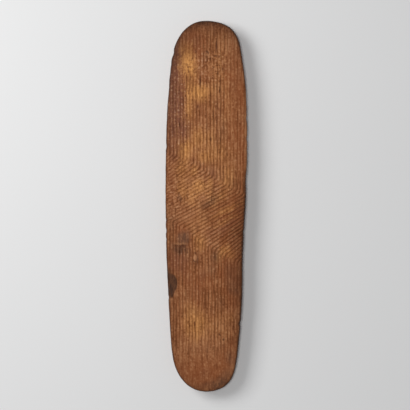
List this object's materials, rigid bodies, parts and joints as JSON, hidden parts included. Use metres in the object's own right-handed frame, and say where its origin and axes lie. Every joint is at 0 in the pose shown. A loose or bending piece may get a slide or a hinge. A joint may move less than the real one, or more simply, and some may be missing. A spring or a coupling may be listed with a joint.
{
  "type": "carved wooden parrying shield",
  "caption": "Long narrow carved wooden shield with round ends, a fluted face with a slanting middle band, and a carved grip with a finger hollow on the back.",
  "frame": {"origin": "under the middle of the board, in the plane of the grip's flat sole on which the shield lies", "axes": "+X across the board, to the right when the fluted face is seen with its head up; +Y along the board to its head; +Z out of the fluted face"},
  "size_m": [0.164, 0.744, 0.057],
  "materials": {
    "wood": "hand-cut brown hardwood with a worn, oiled and dusty patina, darker in the flutes and along the rim"
  },
  "bodies": {
    "root": {"shield": "wood"}
  },
  "joints": []
}
